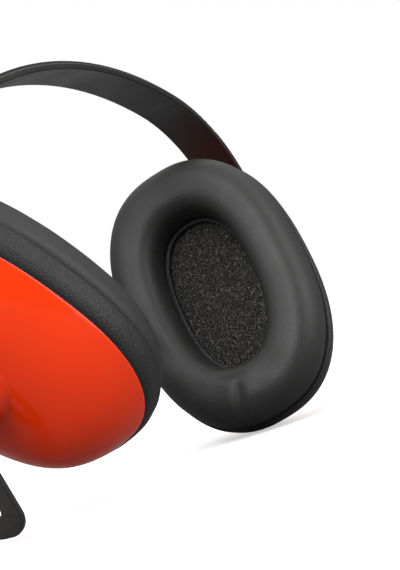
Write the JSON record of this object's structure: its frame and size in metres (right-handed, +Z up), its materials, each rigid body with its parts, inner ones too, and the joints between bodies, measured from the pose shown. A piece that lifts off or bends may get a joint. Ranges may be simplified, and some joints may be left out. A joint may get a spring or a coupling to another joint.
{
  "type": "earmuff hearing protector",
  "caption": "Over-the-head earmuff hearing protector with oval red cups, vinyl ear cushions and a slotted plastic headband.",
  "frame": {"origin": "half way between the two ball joints that carry the cups", "axes": "+X to the wearer's right, +Y to the back of the head, +Z up to the crown"},
  "size_m": [0.2146, 0.0884, 0.139],
  "materials": {
    "shell_red": "glossy moulded",
    "rim_black": "fine-grained moulded",
    "band_black": "smooth satin moulded",
    "cushion_vinyl": "matt vinyl",
    "soft_foam": "soft foam",
    "sound_foam": "open-cell foam",
    "bush_plastic": "natural moulded",
    "spring_steel": "bright"
  },
  "bodies": {
    "headband": {"headband": "band_black"},
    "right_slider": {"right_slider_carriage": "band_black", "right_slider_cover": "band_black", "right_slider_cap": "band_black"},
    "right_stud": {"right_pivot_stud": "band_black", "right_stud_clip": "spring_steel"},
    "right_bush": {"right_pivot_bush": "bush_plastic"},
    "right_cup": {"right_shell": "shell_red", "right_rim": "rim_black", "right_cushion_plate": "rim_black", "right_cushion_skin": "cushion_vinyl", "right_cushion_foam": "soft_foam", "right_sound_foam": "sound_foam"},
    "left_slider": {"left_slider_carriage": "band_black", "left_slider_cover": "band_black", "left_slider_cap": "band_black"},
    "left_stud": {"left_pivot_stud": "band_black", "left_stud_clip": "spring_steel"},
    "left_bush": {"left_pivot_bush": "bush_plastic"},
    "left_cup": {"left_shell": "shell_red", "left_rim": "rim_black", "left_cushion_plate": "rim_black", "left_cushion_skin": "cushion_vinyl", "left_cushion_foam": "soft_foam", "left_sound_foam": "sound_foam"}
  },
  "joints": [
    {"name": "right_height", "type": "slide", "parent": "headband", "child": "right_slider", "axis": [-0.3469, 0, -0.9379], "range_m": [0, 0.024]},
    {"name": "right_turn", "type": "hinge", "parent": "right_slider", "child": "right_stud", "pos_m": [0.0908, 0, 0], "axis": [0.9379, 0, -0.3469], "range_deg": [-20, 49]},
    {"name": "right_tilt", "type": "hinge", "parent": "right_stud", "child": "right_bush", "pos_m": [0.0908, 0, 0], "axis": [0, 1, 0], "range_deg": [-14.7, 13]},
    {"name": "right_toe", "type": "hinge", "parent": "right_bush", "child": "right_cup", "pos_m": [0.0908, 0, 0], "axis": [0.3193, 0.0638, 0.9455], "range_deg": [-25.3, 2.7]},
    {"name": "left_height", "type": "slide", "parent": "headband", "child": "left_slider", "axis": [0.3469, 0, -0.9379], "range_m": [0, 0.024]},
    {"name": "left_turn", "type": "hinge", "parent": "left_slider", "child": "left_stud", "pos_m": [-0.0908, 0, 0], "axis": [-0.9379, 0, -0.3469], "range_deg": [-56, 13]},
    {"name": "left_tilt", "type": "hinge", "parent": "left_stud", "child": "left_bush", "pos_m": [-0.0908, 0, 0], "axis": [0, -1, 0], "range_deg": [-29, 0]},
    {"name": "left_toe", "type": "hinge", "parent": "left_bush", "child": "left_cup", "pos_m": [-0.0908, 0, 0], "axis": [0.5481, 0.0326, -0.8358], "range_deg": [-10.6, 17.4]}
  ]
}
